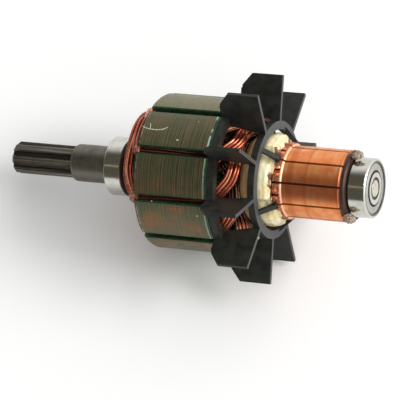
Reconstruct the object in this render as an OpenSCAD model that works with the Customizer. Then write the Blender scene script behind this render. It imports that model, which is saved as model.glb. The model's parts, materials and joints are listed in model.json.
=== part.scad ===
// Wound armature of a small brushed motor: a pinion and two ball bearings on a shaft, a slotted core
// with ten coils, a moulded cooling fan and a ten-bar commutator.
// The rotor is designed along its own axis, from the tip of the pinion (0) to the rear bearing.
// It is then laid down as it comes to rest: on two neighbouring fan blades and the front edge of the core.

/* [Shaft] */
// Diameter of the shaft in the pinion and in both bearings
shaft_d = 5; // [4:0.1:5.6]
// Diameter of the shaft under the core and the commutator
shaft_body_d = 7; // [6:0.1:8]
// Chamfer at the ends of the shaft
shaft_chamfer = 0.3; // [0.1:0.05:0.6]

/* [Pinion] */
// Number of teeth
teeth = 7; // [6:1:8]
// Length of the teeth
tooth_len = 18; // [10:0.5:30]
// Diameter over the teeth
tooth_tip_d = 8.84; // [8.4:0.02:9.6]
// Diameter at the root of the teeth
tooth_root_d = 6.8; // [6.4:0.1:7.4]
// Width of a tooth at its root
tooth_root_w = 2.1; // [1.6:0.05:2.3]
// Width of a tooth at its tip
tooth_tip_w = 1.25; // [0.8:0.05:1.5]
// Chamfer at the tip of the pinion
pinion_chamfer = 0.6; // [0.2:0.1:0.9]
// Diameter of the collar behind the teeth
collar_d = 10.3; // [9.8:0.1:12]
// Length of the collar behind the teeth
collar_len = 11.8; // [6:0.1:20]
// Rounding of the collar where the teeth end
collar_round = 1.2; // [0.4:0.1:2]

/* [Bearings] */
// Outer diameter of both bearings
bearing_d = 16; // [15.4:0.1:18]
// Width of both bearings
bearing_w = 5; // [4.8:0.1:7]
// Number of balls in each bearing
ball_count = 7; // [5:1:7]
// Diameter of the balls
ball_d = 3; // [2.6:0.05:3.2]
// Diameter of the circle that the ball centres run on
ball_circle_d = 11; // [10.8:0.05:11.3]
// Height of the races left and right of the ball grooves, measured from the ball circle
race_shoulder = 1.1; // [0.9:0.05:1.2]
// Thickness of a shield
shield_t = 0.25; // [0.2:0.05:0.3]
// Thickness of the round-section snap ring that holds a shield
snap_ring_t = 0.3; // [0.2:0.05:0.35]
// Open angle of a snap ring
snap_ring_gap = 44; // [20:1:90]

/* [Core] */
// Diameter of the laminated core
core_d = 42; // [40:0.5:46]
// Length of the laminated core
core_len = 20; // [14:0.5:30]
// Width of the opening of a slot
slot_opening = 2.4; // [1.8:0.1:3.2]
// Width of the body of a core tooth
core_tooth_w = 3.8; // [3.4:0.1:4]
// Distance from the axis to the floor of a slot
slot_floor_r = 9.8; // [9.6:0.1:10.2]
// Depth of the widest place of a slot below the core's surface
slot_shoulder_depth = 3.4; // [3:0.1:3.6]
// Depth of the lip of a core tooth at the slot opening
slot_lip_depth = 1.6; // [1:0.1:2]
// Thickness of the insulating coat on the end faces of the core
coat_face_t = 0.5; // [0.3:0.05:0.8]
// Thickness of the insulating coat on the slot walls
coat_wall_t = 0.3; // [0.2:0.05:0.4]
// Step from the core's surface down to the coat's edge
coat_edge = 0.3; // [0.1:0.05:0.6]

/* [Winding] */
// Space between the front bearing and the core for the front coil heads
front_room = 10.1; // [9.6:0.1:14]
// Reach of the front coil heads, to the middle of a bundle
front_head_len = 5.3; // [5:0.1:7]
// Reach of the rear coil heads, to the middle of a bundle
rear_head_len = 5.3; // [5:0.1:6]
// Gap between the outer coil side and the widest place of its slot
coil_top_gap = 0.05; // [0.05:0.05:0.4]
// Gap between the inner coil side and the floor of its slot
coil_floor_gap = 0.75; // [0.6:0.05:1]
// Thickness of a coil's bundle of wires
bundle_t = 2.5; // [1.6:0.05:2.6]
// Width of the bundle in the outer part of a slot
bundle_slot_w = 3.6; // [2.2:0.1:4]
// Diameter of the lead that goes from a coil to its commutator bar
lead_d = 1; // [0.6:0.05:1.2]
// Wall of the insulating sleeves on the shaft
sleeve_wall = 1.5; // [0.8:0.1:2]

/* [Fan] */
// Diameter over the fan blades
fan_d = 56.2; // [52:0.2:66]
// Length of the fan along the shaft
fan_len = 11.8; // [11:0.1:15]
// Thickness of a fan blade
blade_t = 1; // [0.7:0.05:1.6]
// Chamfer of a blade's corner beside the core, along the shaft
blade_chamfer_len = 3; // [1:0.1:5]
// Chamfer of a blade's corner beside the core, across the shaft
blade_chamfer_h = 3.3; // [1:0.1:4]
// Air gap between the fan's front ring and the coils
front_ring_gap = 0.35; // [0.3:0.05:0.6]
// Radial width of the fan's front ring
front_ring_w = 2.5; // [1.6:0.1:2.6]
// Thickness of the fan's front ring
front_ring_t = 2; // [1:0.1:3]
// Air gap between the fan's rear ring and the insulating collar over the leads
rear_ring_gap = 1.4; // [0.8:0.1:2.4]
// Radial width of the fan's rear ring
rear_ring_w = 2.3; // [1.6:0.1:2.6]
// Thickness of the fan's rear ring
rear_ring_t = 1.9; // [1:0.1:2.4]
// Number of straps from the rear ring to the commutator
strap_count = 5; // [5:5:10]
// Width of a strap
strap_w = 1.3; // [0.8:0.1:1.8]
// Thickness of a strap
strap_t = 0.8; // [0.6:0.1:1]

/* [Commutator] */
// Diameter of the brush track
track_d = 19.3; // [18:0.1:19.4]
// Length of the brush track
track_len = 17; // [10:0.5:26]
// Diameter over the risers where the leads are joined
riser_d = 20.6; // [20.6:0.1:21.4]
// Length of the risers
riser_len = 1.8; // [1.6:0.1:3]
// Gap between two bars
bar_gap = 0.6; // [0.4:0.05:0.9]
// Radial thickness of a bar
bar_t = 3.05; // [2.4:0.05:3.4]
// Depth of the gaps above the moulded hub
undercut = 0.8; // [0.4:0.05:1.2]
// Space between the fan and the risers
riser_room = 2.9; // [2.7:0.1:4]
// Length of the hub's rear flange
flange_len = 1.2; // [0.8:0.1:3]
// Step from the brush track down to the hub's rear flange
flange_step = 0.35; // [0.2:0.05:1]
// Running gap between the hub's rear flange and the rear bearing
flange_clearance = 0.3; // [0.2:0.05:1]
// Largest radius of the insulating collar over the leads
lead_collar_r = 12.2; // [12:0.05:12.4]
// Wall of the insulating collar over the leads
lead_collar_wall = 1.3; // [0.8:0.1:1.6]

/* [Hidden] */
$fn = 64;
// Ten slots, ten coils, ten commutator bars and ten fan blades share one pitch.
slots = 10;
pitch = 360 / slots;
coil_span = 4;

// A running gap, a ball's play in its groove, and an overlap for clean cuts
shield_gap = 0.15;
ball_play = 0.03;
cage_play = 0.06;
cut = 1;

// Stations along the axis
collar_s = tooth_len;
front_bearing_s = collar_s + collar_len;
shoulder_s = front_bearing_s + bearing_w;
core_s = shoulder_s + front_room + coat_face_t;
core_end_s = core_s + core_len;
coat_s = core_s - coat_face_t;
coat_end_s = core_end_s + coat_face_t;
fan_end_s = coat_end_s + fan_len;
riser_s = fan_end_s + riser_room;
track_s = riser_s + riser_len;
track_end_s = track_s + track_len;
flange_end_s = track_end_s + flange_len;
rear_bearing_s = flange_end_s + flange_clearance;
end_s = rear_bearing_s + bearing_w;

// Radii
shaft_r = shaft_d / 2;
shaft_body_r = shaft_body_d / 2;
tooth_tip_r = tooth_tip_d / 2;
collar_r = collar_d / 2;
bearing_r = bearing_d / 2;
ball_r = ball_d / 2;
ball_circle_r = ball_circle_d / 2;
core_r = core_d / 2;
fan_r = fan_d / 2;
track_r = track_d / 2;
riser_r = riser_d / 2;
bar_inner_r = track_r - bar_t;
sleeve_r = shaft_body_r + sleeve_wall;
flange_r = track_r - flange_step;

// The teeth of the pinion and the openings of the snap rings stand at these angles from straight down.
pinion_phase = 15;
snap_ring_phase = 31;

// Rest attitude. The line through the core's front edge and the chamfer corners of the two lowest
// blades lies on the floor. The box round the rotor is centred on the origin, with its base at 0.
blade_corner_s = coat_end_s + blade_chamfer_len;
blade_corner_drop = fan_r * cos(pitch / 2) + blade_t / 2 * sin(pitch / 2);
tilt = atan((blade_corner_drop - core_r) / (blade_corner_s - core_s));
axis_height = core_r * cos(tilt) - core_s * sin(tilt);
low_x = -(tooth_tip_r - pinion_chamfer) * sin(tilt);
bearing_edge = 0.3;
high_x = end_s * cos(tilt) + (bearing_r - bearing_edge) * sin(tilt);

function two_digits(i) = i < 10 ? str("0", i) : str(i);

// Lays the rotor down. Its axis turns from +Z to +X, rising by the tilt, and the rotor's own +X
// points straight down.
module at_rest() {
    translate([-(low_x + high_x) / 2, 0, axis_height])
        rotate([0, 90 - tilt, 0])
            children();
}

// Repeats a shape at every pitch, starting half a pitch from straight down
module at_each_slot() {
    for (i = [0 : slots - 1])
        rotate(pitch / 2 + i * pitch)
            children();
}

module ring(inner, outer, height) {
    difference() {
        cylinder(r = outer, h = height);
        translate([0, 0, -cut])
            cylinder(r = inner, h = height + 2 * cut);
    }
}

// ---- Shaft and pinion ----

module shaft() {
    color("lightgray")
        rotate_extrude()
            polygon([
                [0, pinion_chamfer],
                [shaft_r - shaft_chamfer, pinion_chamfer],
                [shaft_r, pinion_chamfer + shaft_chamfer],
                [shaft_r, shoulder_s],
                [shaft_body_r, shoulder_s],
                [shaft_body_r, rear_bearing_s],
                [shaft_r, rear_bearing_s],
                [shaft_r, end_s - shaft_chamfer],
                [shaft_r - shaft_chamfer, end_s],
                [0, end_s]
            ]);
}

module pinion_teeth() {
    intersection() {
        linear_extrude(height = tooth_len + collar_round)
            union() {
                circle(d = tooth_root_d);
                for (i = [0 : teeth - 1])
                    rotate(pinion_phase + i * 360 / teeth)
                        polygon([
                            [0, -tooth_root_w / 2],
                            [tooth_root_d / 2, -tooth_root_w / 2],
                            [tooth_tip_r + cut, -tooth_tip_w / 2],
                            [tooth_tip_r + cut, tooth_tip_w / 2],
                            [tooth_root_d / 2, tooth_root_w / 2],
                            [0, tooth_root_w / 2]
                        ]);
            }
        rotate_extrude()
            polygon([
                [0, 0],
                [tooth_tip_r - pinion_chamfer, 0],
                [tooth_tip_r, pinion_chamfer],
                [tooth_tip_r, tooth_len + collar_round],
                [0, tooth_len + collar_round]
            ]);
    }
}

module pinion_collar() {
    rotate_extrude()
        union() {
            translate([0, collar_s])
                square([collar_r - collar_round, collar_len]);
            translate([0, collar_s + collar_round])
                square([collar_r, collar_len - collar_round]);
            intersection() {
                translate([collar_r - collar_round, collar_s + collar_round])
                    circle(r = collar_round);
                translate([0, collar_s])
                    square([collar_r, 2 * collar_round]);
            }
        }
}

module pinion() {
    color("dimgray")
        difference() {
            union() {
                pinion_teeth();
                pinion_collar();
            }
            translate([0, 0, -cut])
                cylinder(r = shaft_r, h = front_bearing_s + 2 * cut);
        }
}

// ---- Bearings ----

// All bearing pieces stand on z = 0, inside the bearing's width.
shield_depth = snap_ring_t + shield_t;
shield_seat_r = ball_circle_r + ball_r + 0.2;
shield_inner_r = ball_circle_r - race_shoulder + shield_gap;
groove_r = ball_r + ball_play;

module outer_ring() {
    color("silver")
        rotate_extrude()
            difference() {
                polygon([
                    [ball_circle_r + race_shoulder, shield_depth],
                    [shield_seat_r, shield_depth],
                    [shield_seat_r, 0],
                    [bearing_r - bearing_edge, 0],
                    [bearing_r, bearing_edge],
                    [bearing_r, bearing_w - bearing_edge],
                    [bearing_r - bearing_edge, bearing_w],
                    [shield_seat_r, bearing_w],
                    [shield_seat_r, bearing_w - shield_depth],
                    [ball_circle_r + race_shoulder, bearing_w - shield_depth]
                ]);
                translate([ball_circle_r, bearing_w / 2])
                    circle(r = groove_r);
            }
}

module inner_ring() {
    color("silver")
        rotate_extrude()
            difference() {
                polygon([
                    [shaft_r, bearing_edge],
                    [shaft_r + bearing_edge, 0],
                    [ball_circle_r - race_shoulder, 0],
                    [ball_circle_r - race_shoulder, bearing_w],
                    [shaft_r + bearing_edge, bearing_w],
                    [shaft_r, bearing_w - bearing_edge]
                ]);
                translate([ball_circle_r, bearing_w / 2])
                    circle(r = groove_r);
            }
}

module ball(i) {
    color("lightsteelblue")
        rotate(i * 360 / ball_count)
            translate([ball_circle_r, 0, bearing_w / 2])
                sphere(r = ball_r);
}

// A crown cage: a ring with one round pocket for each ball, open on one side
cage_half_w = 0.75;
cage_back = 0.27;
cage_crown = 0.8;

module cage() {
    pocket_r = ball_r + cage_play;
    color("tan")
        difference() {
            translate([0, 0, bearing_w / 2 - pocket_r - cage_back])
                ring(
                    ball_circle_r - cage_half_w,
                    ball_circle_r + cage_half_w,
                    pocket_r + cage_back + cage_crown
                );
            for (i = [1 : ball_count])
                rotate(i * 360 / ball_count)
                    translate([ball_circle_r, 0, bearing_w / 2])
                        sphere(r = pocket_r);
        }
}

// A shield with a raised lip round its hole
module shield() {
    lip_r = shield_inner_r + 0.9;
    color("gainsboro")
        rotate_extrude()
            polygon([
                [shield_inner_r, snap_ring_t - shield_t / 2],
                [lip_r, snap_ring_t - shield_t / 2],
                [lip_r + shield_t, snap_ring_t],
                [shield_seat_r, snap_ring_t],
                [shield_seat_r, snap_ring_t + shield_t],
                [lip_r, snap_ring_t + shield_t],
                [lip_r - shield_t, snap_ring_t + shield_t / 2],
                [shield_inner_r, snap_ring_t + shield_t / 2]
            ]);
}

module snap_ring() {
    color("gray")
        rotate(snap_ring_phase + snap_ring_gap / 2)
            rotate_extrude(angle = 360 - snap_ring_gap)
                translate([shield_seat_r - snap_ring_t, 0])
                    square([snap_ring_t, snap_ring_t]);
}

module front_bearing() {
    translate([0, 0, front_bearing_s])
        children();
}

module rear_bearing() {
    translate([0, 0, rear_bearing_s])
        children();
}

// Turns a shield or a snap ring over, onto the bearing's far face
module far_face() {
    translate([0, 0, bearing_w])
        mirror([0, 0, 1])
            children();
}

// ---- Core ----

// A slot as seen along the shaft, with its middle on +X. Its sides run parallel to the middle lines
// of the two teeth beside it. The inset draws it smaller on every wall.
function slot_half_w(x, inset) = x * tan(pitch / 2) - (core_tooth_w / 2 + inset) / cos(pitch / 2);

module slot_outline(inset) {
    floor_r = slot_floor_r + inset;
    shoulder_r = core_r - slot_shoulder_depth - inset;
    lip_r = core_r - slot_lip_depth - inset;
    half_opening = slot_opening / 2 - inset;
    polygon([
        [floor_r, -slot_half_w(floor_r, inset)],
        [shoulder_r, -slot_half_w(shoulder_r, inset)],
        [lip_r, -half_opening],
        [core_r + cut, -half_opening],
        [core_r + cut, half_opening],
        [lip_r, half_opening],
        [shoulder_r, slot_half_w(shoulder_r, inset)],
        [floor_r, slot_half_w(floor_r, inset)]
    ]);
    translate([floor_r, 0])
        circle(r = slot_half_w(floor_r, inset));
}

module slotted_disc(radius, inset) {
    difference() {
        circle(r = radius);
        circle(r = shaft_body_r);
        at_each_slot()
            slot_outline(inset);
    }
}

module core() {
    color("darkolivegreen")
        translate([0, 0, core_s])
            linear_extrude(height = core_len)
                slotted_disc(core_r, 0);
}

// One coat covers both end faces of the core and the walls of its slots.
module core_insulation() {
    color("seagreen")
        union() {
            for (s = [coat_s, core_end_s])
                translate([0, 0, s])
                    linear_extrude(height = coat_face_t)
                        slotted_disc(core_r - coat_edge, coat_wall_t);
            translate([0, 0, coat_s])
                linear_extrude(height = core_len + 2 * coat_face_t)
                    intersection() {
                        circle(r = core_r - coat_edge);
                        at_each_slot()
                            difference() {
                                slot_outline(0);
                                slot_outline(coat_wall_t);
                            }
                    }
        }
}

module front_sleeve() {
    color("white")
        translate([0, 0, shoulder_s + cut])
            ring(shaft_body_r, sleeve_r, coat_s - shoulder_s - cut);
}

module rear_sleeve() {
    color("white")
        translate([0, 0, coat_end_s])
            ring(shaft_body_r, sleeve_r, riser_s - hub_lead - coat_end_s);
}

// ---- Winding ----

// A knot of the coil's path holds its radius, angle and station, and the bundle's width and height.
// A coil runs down the outer part of its slot, swirls inwards across the head, and comes back in the
// inner part of the slot that lies four pitches back. The same head, mirrored, closes the loop.
coil_upper_r = core_r - slot_shoulder_depth - coil_top_gap - bundle_t / 2;
coil_lower_r = slot_floor_r + coat_wall_t + coil_floor_gap + bundle_t / 2;
span = coil_span * pitch;
slot_exit_turn = 4;
slot_exit_dip = 0.3;
head_dip = 1;
front_shoulder_dip = 0.1;
rear_shoulder_dip = 1;
sleeve_room = 1.65;

function head_knots(face, way, reach, shoulder_r, turn_r) = [
    [coil_upper_r, 0, face, bundle_slot_w, bundle_t],
    [coil_upper_r, slot_exit_turn, face + way * reach * 0.3, bundle_t * 1.15, bundle_t],
    [shoulder_r, 28, face + way * reach * 0.68, bundle_t, bundle_t],
    [(shoulder_r + turn_r) / 2 - head_dip, 84, face + way * reach, bundle_t, bundle_t],
    [turn_r, 128, face + way * reach * 0.35, bundle_t, bundle_t],
    [coil_lower_r - slot_exit_dip, span - slot_exit_turn, face + way * reach * 0.26, bundle_t, bundle_t],
    [coil_lower_r, span, face, bundle_t, bundle_t]
];

function reversed(list) = [for (i = [len(list) - 1 : -1 : 0]) list[i]];

// Catmull-Rom curve through the knots of one head
head_steps = 3;

function blend(a, b, c, d, t) =
    0.5 * (2 * b + (c - a) * t + (2 * a - 5 * b + 4 * c - d) * t * t + (3 * b - 3 * c + d - a) * t * t * t);

function head_curve(knots) = [
    for (i = [0 : len(knots) - 2])
        for (j = [0 : head_steps - 1])
            blend(
                knots[max(i - 1, 0)],
                knots[i],
                knots[i + 1],
                knots[min(i + 2, len(knots) - 1)],
                j / head_steps
            ),
    knots[len(knots) - 1]
];

front_shoulder_r = coil_upper_r - front_shoulder_dip;
rear_shoulder_r = coil_upper_r - rear_shoulder_dip;
head_turn_r = sleeve_r + bundle_t / 2 + sleeve_room;

coil_path = concat(
    head_curve(head_knots(coat_end_s, 1, rear_head_len, rear_shoulder_r, head_turn_r)),
    reversed(head_curve(head_knots(coat_s, -1, front_head_len, front_shoulder_r, head_turn_r)))
);

function outward(knot) = [cos(knot[1]), -sin(knot[1]), 0];
function place(knot) = knot[0] * outward(knot) + [0, 0, knot[2]];
function unit(v) = v / norm(v);

// The bundle's cross-section is a rounded square whose outline shows the wires on its surface.
wire_ridges = 6;
ridge_depth = 0.86;

function bundle_ring(path, i) =
    let (
        n = len(path),
        here = place(path[i]),
        along = unit(place(path[(i + 1) % n]) - place(path[(i + n - 1) % n])),
        side = unit(cross(along, outward(path[i]))),
        up = cross(side, along)
    )
    [for (k = [0 : 2 * wire_ridges - 1])
        let (
            a = k * 180 / wire_ridges,
            r = (k % 2 == 0 ? 1 : ridge_depth) / 2
        )
        here + side * cos(a) * r * path[i][3] + up * sin(a) * r * path[i][4]];

// Sweeps the bundle round a closed path
module closed_bundle(path) {
    n = len(path);
    m = 2 * wire_ridges;
    points = [for (i = [0 : n - 1]) each bundle_ring(path, i)];
    faces = [
        for (i = [0 : n - 1])
            for (k = [0 : m - 1])
                let (
                    a = i * m + k,
                    b = i * m + (k + 1) % m,
                    c = (i + 1) % n * m + (k + 1) % m,
                    d = (i + 1) % n * m + k
                )
                each [[a, b, c], [a, c, d]]
    ];
    polyhedron(points = points, faces = faces);
}

// The lead leaves the head three pitches back, and ends in the riser of the bar there.
lead_pitches = 3;
lead_depth = 1.1;
lead_end_gap = 0.2;
lead_r = riser_r - lead_depth;
lead_start_s = coat_end_s + rear_head_len * 0.85;
lead_end_s = track_s - lead_end_gap;

module coil(i) {
    color("chocolate")
        rotate(pitch / 2 + (i - 1) * pitch)
            union() {
                closed_bundle(coil_path);
                rotate(-lead_pitches * pitch)
                    translate([lead_r, 0, lead_start_s])
                        cylinder(d = lead_d, h = lead_end_s - lead_start_s, $fn = 24);
            }
}

// ---- Fan ----

front_step = 0.3;
front_step_w = 0.8;
blade_root_rise = 0.3;
step_r = fan_r - blade_chamfer_h - front_step_w;
front_ring_inner_r = coil_upper_r + bundle_t / 2 + front_ring_gap;
front_ring_r = front_ring_inner_r + front_ring_w;
rear_ring_inner_r = lead_collar_r + rear_ring_gap;
rear_ring_r = rear_ring_inner_r + rear_ring_w;

// Outline of a blade: x is the distance from the axis, y runs along the shaft. Its roots end in the
// middle of the two rings.
module blade_outline() {
    front_root_r = front_ring_r - front_ring_w / 2;
    rear_root_r = rear_ring_r - rear_ring_w / 2;
    polygon([
        [front_root_r, coat_end_s],
        [step_r, coat_end_s],
        [step_r, coat_end_s + front_step],
        [fan_r - blade_chamfer_h, coat_end_s + front_step],
        [fan_r, blade_corner_s],
        [fan_r, fan_end_s],
        [rear_root_r, fan_end_s],
        [rear_root_r, fan_end_s - rear_ring_t / 2],
        [rear_ring_r, fan_end_s - rear_ring_t - blade_root_rise],
        [front_ring_inner_r, coat_end_s + front_ring_t / 2],
        [front_root_r, coat_end_s + front_ring_t / 2]
    ]);
}

module blade() {
    rotate([90, 0, 0])
        translate([0, 0, -blade_t / 2])
            linear_extrude(height = blade_t)
                blade_outline();
}

// A strap slopes from the rear ring, over the collar, to a foot on the risers.
strap_start_r = rear_ring_inner_r + rear_ring_w / 2;
strap_start_s = fan_end_s - rear_ring_t / 2;
strap_foot_s = riser_s + 0.1;
strap_foot_len = 1;
strap_foot_w = 2;

module at_each_strap() {
    for (i = [0 : strap_count - 1])
        rotate(180 + i * 360 / strap_count)
            children();
}

module strap() {
    rotate([90, 0, 0])
        translate([0, 0, -strap_w / 2])
            linear_extrude(height = strap_w)
                polygon([
                    [strap_start_r, strap_start_s - strap_t / 2],
                    [strap_start_r, strap_start_s + strap_t],
                    [riser_r + strap_t, strap_foot_s + strap_foot_len],
                    [riser_r, strap_foot_s + strap_foot_len],
                    [riser_r, strap_foot_s]
                ]);
    translate([riser_r, -strap_foot_w / 2, strap_foot_s])
        cube([strap_t, strap_foot_w, strap_foot_len]);
}

module fan() {
    color("#202224")
        union() {
            translate([0, 0, coat_end_s])
                ring(front_ring_inner_r, front_ring_r, front_ring_t);
            translate([0, 0, fan_end_s - rear_ring_t])
                ring(rear_ring_inner_r, rear_ring_r, rear_ring_t);
            at_each_slot()
                blade();
            at_each_strap()
                strap();
        }
}

// ---- Commutator ----

hub_lead = 1;
dovetail = 1;
bar_chamfer = 0.5;

collar_gap = 0.2;

// The collar's inside widens with its outside, and closes in round the leads at both ends.
module lead_collar() {
    front_s = coat_end_s + rear_head_len + bundle_t / 2 + collar_gap;
    front_r = lead_collar_r - 0.9;
    rear_r = riser_r + 0.3;
    bulge_len = 1.4;
    bulge_s = fan_end_s - bulge_len;
    neck_s = riser_s - 1;
    lead_room_r = lead_r + lead_d / 2 + collar_gap;
    color("ivory")
        difference() {
            rotate_extrude()
                polygon([
                    [lead_room_r, front_s],
                    [front_r, front_s],
                    [front_r + 0.5, front_s + 0.4],
                    [lead_collar_r, bulge_s],
                    [lead_collar_r, bulge_s + bulge_len],
                    [rear_r + 0.6, neck_s],
                    [rear_r, riser_s],
                    [lead_room_r, riser_s],
                    [lead_room_r, neck_s],
                    [lead_collar_r - lead_collar_wall, bulge_s + bulge_len],
                    [lead_collar_r - lead_collar_wall, bulge_s],
                    [lead_room_r, front_s + lead_collar_wall]
                ]);
            at_each_strap()
                strap_channel();
        }
}

// The collar gives way under each strap.
module strap_channel() {
    channel_w = strap_foot_w + collar_gap;
    floor_s = strap_start_s - strap_t / 2 - cut;
    rotate([90, 0, 0])
        translate([0, 0, -channel_w / 2])
            linear_extrude(height = channel_w)
                polygon([
                    [strap_start_r - strap_t, floor_s],
                    [strap_start_r + 2 * cut, floor_s],
                    [strap_start_r + 2 * cut, riser_s + cut],
                    [riser_r - 0.1, riser_s + cut],
                    [riser_r - 0.1, riser_s]
                ]);
}

module bar_sector(height) {
    half = pitch / 2;
    reach = 2 * riser_r;
    linear_extrude(height = height)
        intersection() {
            rotate(-half)
                translate([0, bar_gap / 2])
                    square([reach, reach]);
            rotate(half)
                translate([0, -reach - bar_gap / 2])
                    square([reach, reach]);
        }
}

module commutator_bar(i) {
    color("peru")
        rotate(pitch / 2 + (i - 1) * pitch)
            difference() {
                intersection() {
                    rotate_extrude()
                        polygon([
                            [bar_inner_r + dovetail, riser_s],
                            [riser_r, riser_s],
                            [riser_r, track_s],
                            [track_r, track_s + bar_chamfer],
                            [track_r, track_end_s - bar_chamfer],
                            [track_r - bar_chamfer, track_end_s],
                            [bar_inner_r + dovetail, track_end_s],
                            [bar_inner_r, track_end_s - dovetail],
                            [bar_inner_r, riser_s + dovetail]
                        ]);
                    translate([0, 0, riser_s - cut])
                        bar_sector(track_end_s - riser_s + 2 * cut);
                }
                translate([lead_r - lead_d / 2 - 0.05, -lead_d / 2 - 0.05, riser_s - cut])
                    cube([riser_r, lead_d + 0.1, riser_len + cut - lead_end_gap / 2]);
            }
}

module commutator_hub() {
    rib_r = track_r - undercut;
    color("#3a2a20")
        union() {
            rotate_extrude()
                polygon([
                    [shaft_body_r, riser_s - hub_lead],
                    [bar_inner_r + dovetail - 0.6, riser_s - hub_lead],
                    [bar_inner_r + dovetail, riser_s - hub_lead + 0.6],
                    [bar_inner_r + dovetail, riser_s],
                    [bar_inner_r, riser_s + dovetail],
                    [bar_inner_r, track_end_s - dovetail],
                    [bar_inner_r + dovetail, track_end_s],
                    [flange_r, track_end_s],
                    [flange_r, flange_end_s - 0.4],
                    [flange_r - 0.4, flange_end_s],
                    [shaft_body_r, flange_end_s]
                ]);
            for (i = [0 : slots - 1])
                rotate(i * pitch)
                    intersection() {
                        translate([bar_inner_r - 0.5, -bar_gap / 2, riser_s])
                            cube([rib_r, bar_gap, track_end_s - riser_s]);
                        translate([0, 0, riser_s])
                            cylinder(r = rib_r, h = track_end_s - riser_s);
                    }
        }
}

at_rest() shaft();
at_rest() pinion();
at_rest() core();
at_rest() core_insulation();
at_rest() front_sleeve();
at_rest() rear_sleeve();
at_rest() fan();
at_rest() lead_collar();
at_rest() commutator_hub();
for (i = [1 : slots]) {
    at_rest() coil(i);
    at_rest() commutator_bar(i);
}
at_rest() front_bearing() outer_ring();  // front_bearing_outer_ring
at_rest() front_bearing() inner_ring();  // front_bearing_inner_ring
at_rest() front_bearing() cage();  // front_bearing_cage
at_rest() front_bearing() shield();  // front_bearing_outboard_shield
at_rest() front_bearing() far_face() shield();  // front_bearing_inboard_shield
at_rest() front_bearing() snap_ring();  // front_bearing_outboard_snap_ring
at_rest() front_bearing() far_face() snap_ring();  // front_bearing_inboard_snap_ring
at_rest() rear_bearing() outer_ring();  // rear_bearing_outer_ring
at_rest() rear_bearing() inner_ring();  // rear_bearing_inner_ring
at_rest() rear_bearing() cage();  // rear_bearing_cage
at_rest() rear_bearing() shield();  // rear_bearing_inboard_shield
at_rest() rear_bearing() far_face() shield();  // rear_bearing_outboard_shield
at_rest() rear_bearing() snap_ring();  // rear_bearing_inboard_snap_ring
at_rest() rear_bearing() far_face() snap_ring();  // rear_bearing_outboard_snap_ring
for (i = [1 : ball_count]) {
    at_rest() front_bearing() ball(i);
    at_rest() rear_bearing() ball(i);
}
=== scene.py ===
import json
import math
import random

import bmesh
import bpy
from mathutils import Matrix, Vector, noise


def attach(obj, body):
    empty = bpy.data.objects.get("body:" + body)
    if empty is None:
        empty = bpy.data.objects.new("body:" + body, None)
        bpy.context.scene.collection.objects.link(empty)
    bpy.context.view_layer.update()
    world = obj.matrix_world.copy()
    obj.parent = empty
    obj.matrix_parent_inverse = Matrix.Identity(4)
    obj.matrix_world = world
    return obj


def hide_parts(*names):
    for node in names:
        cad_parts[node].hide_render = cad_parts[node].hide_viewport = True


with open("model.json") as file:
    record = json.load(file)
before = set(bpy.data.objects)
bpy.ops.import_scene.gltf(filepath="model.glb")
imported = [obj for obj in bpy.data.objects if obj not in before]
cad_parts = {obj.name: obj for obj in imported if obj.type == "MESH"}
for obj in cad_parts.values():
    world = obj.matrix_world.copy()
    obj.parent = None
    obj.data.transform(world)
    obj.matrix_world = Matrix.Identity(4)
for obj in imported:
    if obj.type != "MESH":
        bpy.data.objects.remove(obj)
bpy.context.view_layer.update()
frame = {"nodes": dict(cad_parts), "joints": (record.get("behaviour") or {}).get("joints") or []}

mm = 0.001
nodes = frame["nodes"]

# The rotor's own frame: station along the axis from the pinion's tip, radius, and angle from straight
# down towards +Y, in millimetres and degrees.
joint_s = 32.3  # station of the front bearing's joint
spin = [j for j in frame["joints"] if j["name"] == "front_ring_spin"][0]
axis = Vector(spin["axis"]).normalized()
down = Vector((axis.z, 0, -axis.x))
side = Vector((0, 1, 0))
tip = Vector(spin["pos_m"]) - axis * joint_s * mm

# Stations and radii of the forms that pieces and colours here are set against
teeth_end_s = 18.0
coat_s, core_s, core_end_s, coat_end_s = 44.9, 45.4, 65.4, 65.9
resin_s, fan_end_s, riser_s, track_s, track_end_s = 71.2, 77.7, 80.6, 82.4, 99.4
core_r, riser_r, track_r = 21.0, 10.3, 9.65
slots, pitch, strap_pitch = 10, 36.0, 72.0


def outward(phi):
    a = math.radians(phi)
    return down * math.cos(a) + side * math.sin(a)


def at(s, r, phi):
    return tip + (outward(phi) * r + axis * s) * mm


# ---- Camera ----

# The view is set against the rotor: how far the rotor is turned round its axis, how far the axis comes
# towards the viewer and how far it drops across the view. Directions in the view are right, up and
# towards the viewer, and the camera sees the aimed point of the axis at aim_in_view, in millimetres.
turn, swing, slope = (math.radians(a) for a in (31.47, 23.707, 5.248))
aim_s, aim_in_view = 55.1, Vector((0.001, 7.276, -885.56))
field_of_view = 6.986

upward = -down
toward = upward * math.cos(turn) - side * math.sin(turn)
above = side * math.cos(turn) + upward * math.sin(turn)
axis_seen = Vector((math.cos(swing) * math.cos(slope), -math.cos(swing) * math.sin(slope), math.sin(swing)))
toward_seen = (Vector((0, 0, 1)) - axis_seen * axis_seen.z).normalized()
above_seen = toward_seen.cross(axis_seen)
seen = Matrix((axis_seen, toward_seen, above_seen)).transposed() @ Matrix((axis, toward, above))
to_scene = seen.transposed()

lens = bpy.data.cameras.new("camera")
camera = bpy.data.objects.new("camera", lens)
bpy.context.collection.objects.link(camera)
stand = to_scene.to_4x4()
stand.translation = at(aim_s, 0, 0) - to_scene @ (aim_in_view * mm)
camera.matrix_world = stand
lens.sensor_fit = "HORIZONTAL"
lens.angle = math.radians(field_of_view)
lens.clip_end = 20
bpy.context.scene.camera = camera


# ---- Node helpers ----

def tint(*rgb):
    """A colour written as it looks on screen, 0 to 255, turned into linear light."""
    return tuple(c / 255 / 12.92 if c < 11 else ((c / 255 + 0.055) / 1.055) ** 2.4 for c in rgb)


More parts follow.
